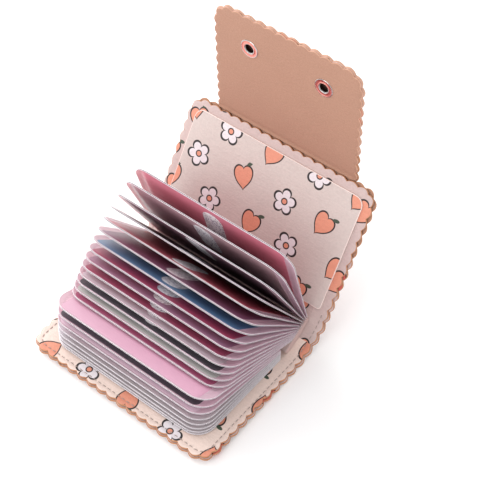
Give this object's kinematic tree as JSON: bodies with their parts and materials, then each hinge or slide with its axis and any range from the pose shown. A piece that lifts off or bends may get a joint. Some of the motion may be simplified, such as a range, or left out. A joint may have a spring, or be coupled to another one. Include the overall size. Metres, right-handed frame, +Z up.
{
  "type": "card wallet",
  "caption": "Small leather card wallet with scalloped covers, a fan of clear card leaves, an arched spine and a snap flap.",
  "frame": {"origin": "under the middle of the open wallet's bounding box, on the surface it lies on", "axes": "+X along the spine to the right, +Y from the front cover towards the back cover, +Z up"},
  "size_m": [0.112, 0.1356, 0.1403],
  "materials": {
    "pink_leather": "satin",
    "tan_core": "matte",
    "cream_lining": "satin",
    "kraft_lining": "matte",
    "clear_film": "satin",
    "binding_fabric": "matte",
    "coral_enamel": "gloss",
    "steel": "polished"
  },
  "bodies": {
    "back_cover": {"back_cover_lining": "cream_lining", "back_cover_core": "tan_core", "back_cover_leather": "pink_leather", "back_inner_panel": "cream_lining", "flap_crease": "pink_leather"},
    "spine": {"spine_lining": "cream_lining", "spine_core": "tan_core", "spine_leather": "pink_leather", "page_binding": "binding_fabric", "spine_rivet_left": "steel", "spine_rivet_right": "steel"},
    "front_cover": {"front_cover_lining": "cream_lining", "front_cover_core": "tan_core", "front_cover_leather": "pink_leather", "snap_stud_left": "steel", "snap_post_left": "steel", "snap_stud_right": "steel", "snap_post_right": "steel"},
    "flap_strip": {"flap_strip_leather": "pink_leather", "flap_strip_lining": "kraft_lining"},
    "flap_tip": {"flap_tip_leather": "pink_leather", "flap_tip_lining": "kraft_lining", "snap_cap_left": "coral_enamel", "snap_socket_left": "steel", "snap_cap_right": "coral_enamel", "snap_socket_right": "steel"},
    "leaf_01_body": {"leaf_01": "clear_film"},
    "leaf_02_body": {"leaf_02": "clear_film"},
    "leaf_03_body": {"leaf_03": "clear_film"},
    "leaf_04_body": {"leaf_04": "clear_film"},
    "leaf_05_body": {"leaf_05": "clear_film"},
    "leaf_06_body": {"leaf_06": "clear_film"},
    "leaf_07_body": {"leaf_07": "clear_film"},
    "leaf_08_body": {"leaf_08": "clear_film"},
    "leaf_09_body": {"leaf_09": "clear_film"},
    "leaf_10_body": {"leaf_10": "clear_film"},
    "leaf_11_body": {"leaf_11": "clear_film"},
    "leaf_12_body": {"leaf_12": "clear_film"},
    "leaf_13_body": {"leaf_13": "clear_film"},
    "leaf_14_body": {"leaf_14": "clear_film"},
    "leaf_15_body": {"leaf_15": "clear_film"},
    "leaf_16_body": {"leaf_16": "clear_film"},
    "leaf_17_body": {"leaf_17": "clear_film"},
    "leaf_18_body": {"leaf_18": "clear_film"},
    "leaf_19_body": {"leaf_19": "clear_film"},
    "leaf_20_body": {"leaf_20": "clear_film"},
    "leaf_21_body": {"leaf_21": "clear_film"},
    "leaf_22_body": {"leaf_22": "clear_film"}
  },
  "joints": [
    {"name": "spine_fold", "type": "hinge", "parent": "back_cover", "child": "spine", "pos_m": [0, 0.02467, 0.0143], "axis": [1, 0, 0], "range_deg": [-60.5, 29.5]},
    {"name": "front_cover_fold", "type": "hinge", "parent": "spine", "child": "front_cover", "pos_m": [0, 0.00323, 0.00305], "axis": [1, 0, 0], "range_deg": [-60.5, 29.5]},
    {"name": "leaf_01_turn", "type": "hinge", "parent": "front_cover", "child": "leaf_01_body", "pos_m": [0, 0.00036, 0.00414], "axis": [1, 0, 0], "range_deg": [-0.254, 0.51]},
    {"name": "leaf_02_turn", "type": "hinge", "parent": "front_cover", "child": "leaf_02_body", "pos_m": [0, 0.00039, 0.00515], "axis": [1, 0, 0], "range_deg": [-0.64, 1.31]},
    {"name": "leaf_03_turn", "type": "hinge", "parent": "front_cover", "child": "leaf_03_body", "pos_m": [0, 0.00043, 0.00616], "axis": [1, 0, 0], "range_deg": [-1.43, 2.92]},
    {"name": "leaf_04_turn", "type": "hinge", "parent": "front_cover", "child": "leaf_04_body", "pos_m": [0, 0.00046, 0.00717], "axis": [1, 0, 0], "range_deg": [-2.5, 5.12]},
    {"name": "leaf_05_turn", "type": "hinge", "parent": "front_cover", "child": "leaf_05_body", "pos_m": [0, 0.00049, 0.00818], "axis": [1, 0, 0], "range_deg": [-3.82, 7.82]},
    {"name": "leaf_06_turn", "type": "hinge", "parent": "front_cover", "child": "leaf_06_body", "pos_m": [0, 0.00052, 0.00919], "axis": [1, 0, 0], "range_deg": [-5.35, 10.96]},
    {"name": "leaf_07_turn", "type": "hinge", "parent": "front_cover", "child": "leaf_07_body", "pos_m": [0, 0.00055, 0.0102], "axis": [1, 0, 0], "range_deg": [-7.07, 14.5]},
    {"name": "leaf_08_turn", "type": "hinge", "parent": "front_cover", "child": "leaf_08_body", "pos_m": [0, 0.00059, 0.01121], "axis": [1, 0, 0], "range_deg": [-8.98, 18.41]},
    {"name": "leaf_09_turn", "type": "hinge", "parent": "spine", "child": "leaf_09_body", "pos_m": [0, 0.00992, 0.00984], "axis": [1, 0, 0], "range_deg": [-41.81, 20.39]},
    {"name": "leaf_10_turn", "type": "hinge", "parent": "spine", "child": "leaf_10_body", "pos_m": [0, 0.01082, 0.01031], "axis": [1, 0, 0], "range_deg": [-39.02, 19.03]},
    {"name": "leaf_11_turn", "type": "hinge", "parent": "spine", "child": "leaf_11_body", "pos_m": [0, 0.01171, 0.01078], "axis": [1, 0, 0], "range_deg": [-36.18, 17.65]},
    {"name": "leaf_12_turn", "type": "hinge", "parent": "spine", "child": "leaf_12_body", "pos_m": [0, 0.0126, 0.01125], "axis": [1, 0, 0], "range_deg": [-33.23, 16.21]},
    {"name": "leaf_13_turn", "type": "hinge", "parent": "spine", "child": "leaf_13_body", "pos_m": [0, 0.0135, 0.01172], "axis": [1, 0, 0], "range_deg": [-30.12, 14.69]},
    {"name": "leaf_14_turn", "type": "hinge", "parent": "spine", "child": "leaf_14_body", "pos_m": [0, 0.01439, 0.01219], "axis": [1, 0, 0], "range_deg": [-26.8, 13.07]},
    {"name": "leaf_15_turn", "type": "hinge", "parent": "spine", "child": "leaf_15_body", "pos_m": [0, 0.01529, 0.01265], "axis": [1, 0, 0], "range_deg": [-23.22, 11.33]},
    {"name": "leaf_16_turn", "type": "hinge", "parent": "spine", "child": "leaf_16_body", "pos_m": [0, 0.01618, 0.01312], "axis": [1, 0, 0], "range_deg": [-19.31, 9.42]},
    {"name": "leaf_17_turn", "type": "hinge", "parent": "spine", "child": "leaf_17_body", "pos_m": [0, 0.01708, 0.01359], "axis": [1, 0, 0], "range_deg": [-15.04, 7.34]},
    {"name": "leaf_18_turn", "type": "hinge", "parent": "spine", "child": "leaf_18_body", "pos_m": [0, 0.01797, 0.01406], "axis": [1, 0, 0], "range_deg": [-10.33, 5.04]},
    {"name": "leaf_19_turn", "type": "hinge", "parent": "spine", "child": "leaf_19_body", "pos_m": [0, 0.01886, 0.01453], "axis": [1, 0, 0], "range_deg": [-5.15, 2.52]},
    {"name": "leaf_20_turn", "type": "hinge", "parent": "spine", "child": "leaf_20_body", "pos_m": [0, 0.01976, 0.015], "axis": [1, 0, 0], "range_deg": [-0.288, 0.579]},
    {"name": "leaf_21_turn", "type": "hinge", "parent": "spine", "child": "leaf_21_body", "pos_m": [0, 0.02065, 0.01547], "axis": [1, 0, 0], "range_deg": [-3.36, 6.88]},
    {"name": "leaf_22_turn", "type": "hinge", "parent": "spine", "child": "leaf_22_body", "pos_m": [0, 0.02155, 0.01594], "axis": [1, 0, 0], "range_deg": [-6.74, 13.81]},
    {"name": "flap_fold", "type": "hinge", "parent": "back_cover", "child": "flap_strip", "pos_m": [0, 0.06617, 0.07398], "axis": [1, 0, 0], "range_deg": [-144, 56]},
    {"name": "flap_tip_fold", "type": "hinge", "parent": "flap_strip", "child": "flap_tip", "pos_m": [0, 0.0642, 0.10431], "axis": [1, 0, 0], "range_deg": [0, 90]}
  ],
  "couplings": [
    {"joint": "front_cover_fold", "follows": "spine_fold", "ratio": 1},
    {"joint": "leaf_01_turn", "follows": "spine_fold", "ratio": -0.008264},
    {"joint": "leaf_02_turn", "follows": "spine_fold", "ratio": -0.021415},
    {"joint": "leaf_03_turn", "follows": "spine_fold", "ratio": -0.048129},
    {"joint": "leaf_04_turn", "follows": "spine_fold", "ratio": -0.084531},
    {"joint": "leaf_05_turn", "follows": "spine_fold", "ratio": -0.12911},
    {"joint": "leaf_06_turn", "follows": "spine_fold", "ratio": -0.18096},
    {"joint": "leaf_07_turn", "follows": "spine_fold", "ratio": -0.23946},
    {"joint": "leaf_08_turn", "follows": "spine_fold", "ratio": -0.30413},
    {"joint": "leaf_09_turn", "follows": "spine_fold", "ratio": 0.69091},
    {"joint": "leaf_10_turn", "follows": "spine_fold", "ratio": 0.64481},
    {"joint": "leaf_11_turn", "follows": "spine_fold", "ratio": 0.59784},
    {"joint": "leaf_12_turn", "follows": "spine_fold", "ratio": 0.5491},
    {"joint": "leaf_13_turn", "follows": "spine_fold", "ratio": 0.49774},
    {"joint": "leaf_14_turn", "follows": "spine_fold", "ratio": 0.44286},
    {"joint": "leaf_15_turn", "follows": "spine_fold", "ratio": 0.38358},
    {"joint": "leaf_16_turn", "follows": "spine_fold", "ratio": 0.31904},
    {"joint": "leaf_17_turn", "follows": "spine_fold", "ratio": 0.24835},
    {"joint": "leaf_18_turn", "follows": "spine_fold", "ratio": 0.17063},
    {"joint": "leaf_19_turn", "follows": "spine_fold", "ratio": 0.084999},
    {"joint": "leaf_20_turn", "follows": "spine_fold", "ratio": -0.009411},
    {"joint": "leaf_21_turn", "follows": "spine_fold", "ratio": -0.11349},
    {"joint": "leaf_22_turn", "follows": "spine_fold", "ratio": -0.2281}
  ]
}
